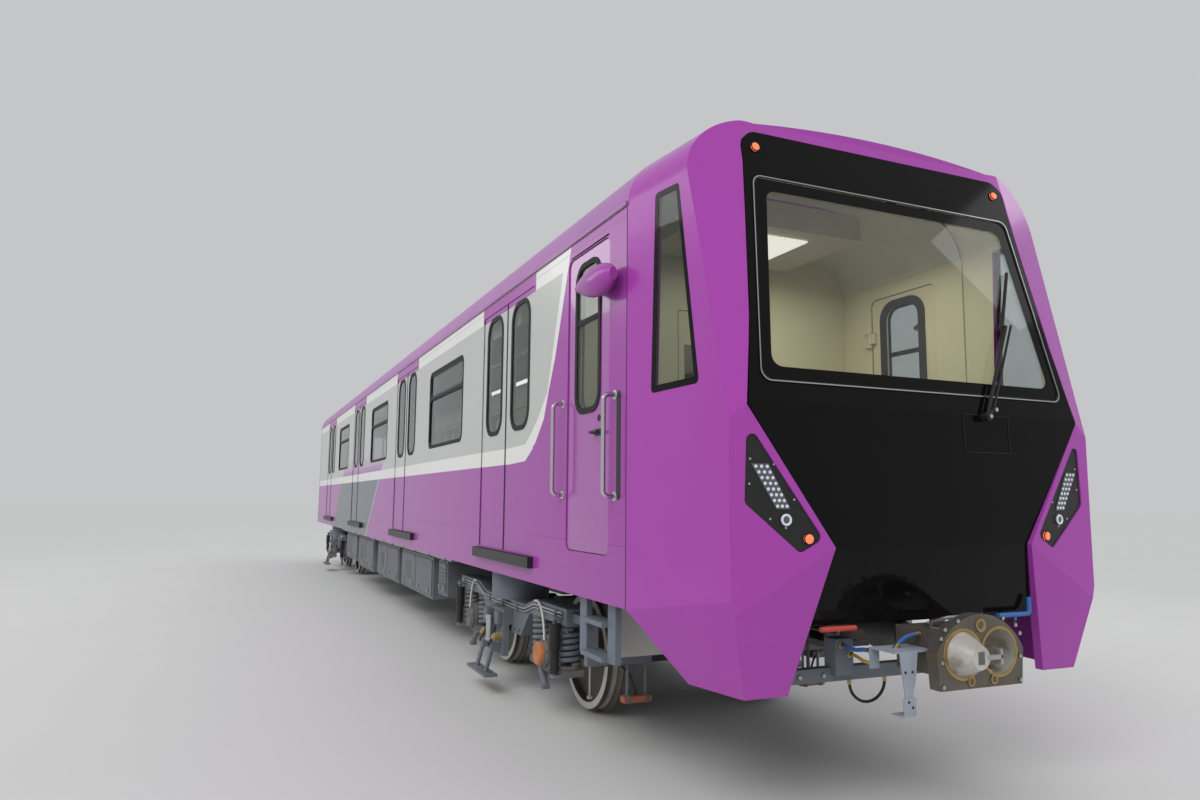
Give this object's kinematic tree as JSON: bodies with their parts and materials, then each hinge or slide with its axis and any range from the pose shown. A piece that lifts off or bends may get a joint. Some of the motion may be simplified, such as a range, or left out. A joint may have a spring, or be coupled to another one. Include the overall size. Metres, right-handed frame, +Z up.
{
  "type": "metro train head car",
  "caption": "Metro head car: hollow body with plug doors, slanted cab mask, hinged cab doors, powered bogies with current collectors, and an automatic coupler at each end.",
  "frame": {"origin": "under the middle of the car, halfway between the ends of the two couplers, level with the lowest points of the wheel flanges", "axes": "+X forwards to the cab, +Y to the left side of the car, +Z up"},
  "size_m": [19.94, 2.9864, 3.735],
  "materials": {
    "underframe_paint": "matt",
    "body_paint": "gloss",
    "roof_paint": "satin",
    "bellows_rubber": "matt",
    "frame_steel": "satin",
    "mask_paint": "gloss",
    "black_panel": "gloss",
    "silver_trim": "satin",
    "screen_glass": "clear",
    "lamp_carrier": "satin",
    "lamp_white": "gloss",
    "lamp_red": "gloss",
    "window_rubber": "matt",
    "side_glass": "tinted",
    "door_paint": "gloss",
    "step_plate": "matt",
    "lining": "satin",
    "desk_plastic": "matt",
    "seat_fabric": "woven",
    "bench_shell": "satin",
    "pole_steel": "satin",
    "ladder_paint": "satin",
    "running_gear_paint": "satin",
    "cast_box": "matt",
    "insulator": "matt",
    "wheel_steel": "worn",
    "coupler_iron": "worn",
    "hose_blue": "matt",
    "hose_yellow": "matt",
    "hose_black": "matt",
    "case_paint": "satin",
    "handle_red": "gloss",
    "coil_orange": "satin",
    "wiper_black": "satin"
  },
  "bodies": {
    "car_body": {"underframe": "underframe_paint", "left_side_wall": "body_paint", "right_side_wall": "body_paint", "roof": "roof_paint", "air_conditioners": "roof_paint", "rear_end_wall": "body_paint", "gangway_bellows": "bellows_rubber", "gangway_frame": "frame_steel", "cab_mask": "mask_paint", "front_panel": "black_panel", "windscreen_frame": "silver_trim", "windscreen": "screen_glass", "headlamp_panels": "lamp_carrier", "headlamps": "lamp_white", "signal_lamps": "lamp_red", "window_frames": "window_rubber", "side_glass": "side_glass", "passenger_doors": "door_paint", "door_steps": "step_plate", "cab_partition": "lining", "cab_desk": "desk_plastic", "cab_seat_base": "frame_steel", "cab_seat_cushions": "seat_fabric", "saloon_benches": "bench_shell", "bench_cushions": "seat_fabric", "grab_poles": "pole_steel", "cab_handrails": "pole_steel", "cab_ladders": "ladder_paint", "camera_pods": "mask_paint", "front_beam": "running_gear_paint", "end_cock_handles": "handle_red", "wiper": "wiper_black", "blue_hose": "hose_blue", "yellow_hose": "hose_yellow", "black_hose": "hose_black", "equipment_cases": "case_paint", "air_tanks": "running_gear_paint"},
    "front_bogie": {"front_bogie_frame": "running_gear_paint", "front_axle_boxes": "cast_box", "front_traction_motors": "running_gear_paint", "front_collectors": "insulator", "receiver_brackets": "running_gear_paint", "receiver_coils": "coil_orange"},
    "rear_bogie": {"rear_bogie_frame": "running_gear_paint", "rear_axle_boxes": "cast_box", "rear_traction_motors": "running_gear_paint", "rear_collectors": "insulator"},
    "wheelset_1": {"wheelset_1": "wheel_steel"},
    "wheelset_2": {"wheelset_2": "wheel_steel"},
    "wheelset_3": {"wheelset_3": "wheel_steel"},
    "wheelset_4": {"wheelset_4": "wheel_steel"},
    "left_cab_door": {"left_cab_door": "body_paint", "left_cab_door_glass": "side_glass"},
    "right_cab_door": {"right_cab_door": "body_paint", "right_cab_door_glass": "side_glass"},
    "partition_door": {"partition_door": "lining"},
    "front_coupler": {"front_coupler": "coupler_iron", "hose_bracket": "running_gear_paint", "jumper_hose": "hose_blue"},
    "rear_coupler": {"rear_coupler": "coupler_iron"}
  },
  "joints": [
    {"name": "front_bogie_swivel", "type": "hinge", "parent": "car_body", "child": "front_bogie", "pos_m": [5.81, 0, 0.6], "axis": [0, 0, 1], "range_deg": [-6, 6]},
    {"name": "rear_bogie_swivel", "type": "hinge", "parent": "car_body", "child": "rear_bogie", "pos_m": [-6.79, 0, 0.6], "axis": [0, 0, 1], "range_deg": [-6, 6]},
    {"name": "wheelset_1_spin", "type": "hinge", "parent": "front_bogie", "child": "wheelset_1", "pos_m": [6.86, 0, 0.458], "axis": [0, 1, 0], "continuous": true},
    {"name": "wheelset_2_spin", "type": "hinge", "parent": "front_bogie", "child": "wheelset_2", "pos_m": [4.76, 0, 0.458], "axis": [0, 1, 0], "continuous": true},
    {"name": "wheelset_3_spin", "type": "hinge", "parent": "rear_bogie", "child": "wheelset_3", "pos_m": [-5.74, 0, 0.458], "axis": [0, 1, 0], "continuous": true},
    {"name": "wheelset_4_spin", "type": "hinge", "parent": "rear_bogie", "child": "wheelset_4", "pos_m": [-7.84, 0, 0.458], "axis": [0, 1, 0], "continuous": true},
    {"name": "left_cab_door_hinge", "type": "hinge", "parent": "car_body", "child": "left_cab_door", "pos_m": [7.706, 1.272, 2.24], "axis": [0, 0, 1], "range_deg": [-90, 0]},
    {"name": "right_cab_door_hinge", "type": "hinge", "parent": "car_body", "child": "right_cab_door", "pos_m": [7.706, -1.272, 2.24], "axis": [0, 0, 1], "range_deg": [0, 90]},
    {"name": "partition_door_hinge", "type": "hinge", "parent": "car_body", "child": "partition_door", "pos_m": [7.31, 0.304, 2.13], "axis": [0, 0, 1], "range_deg": [-90, 0]},
    {"name": "front_coupler_swing", "type": "hinge", "parent": "car_body", "child": "front_coupler", "pos_m": [8.78, 0, 0.88], "axis": [0, 0, 1], "range_deg": [-12, 12], "deforming": ["blue_hose", "yellow_hose"]},
    {"name": "rear_coupler_swing", "type": "hinge", "parent": "car_body", "child": "rear_coupler", "pos_m": [-8.78, 0, 0.88], "axis": [0, 0, 1], "range_deg": [-12, 12]}
  ]
}
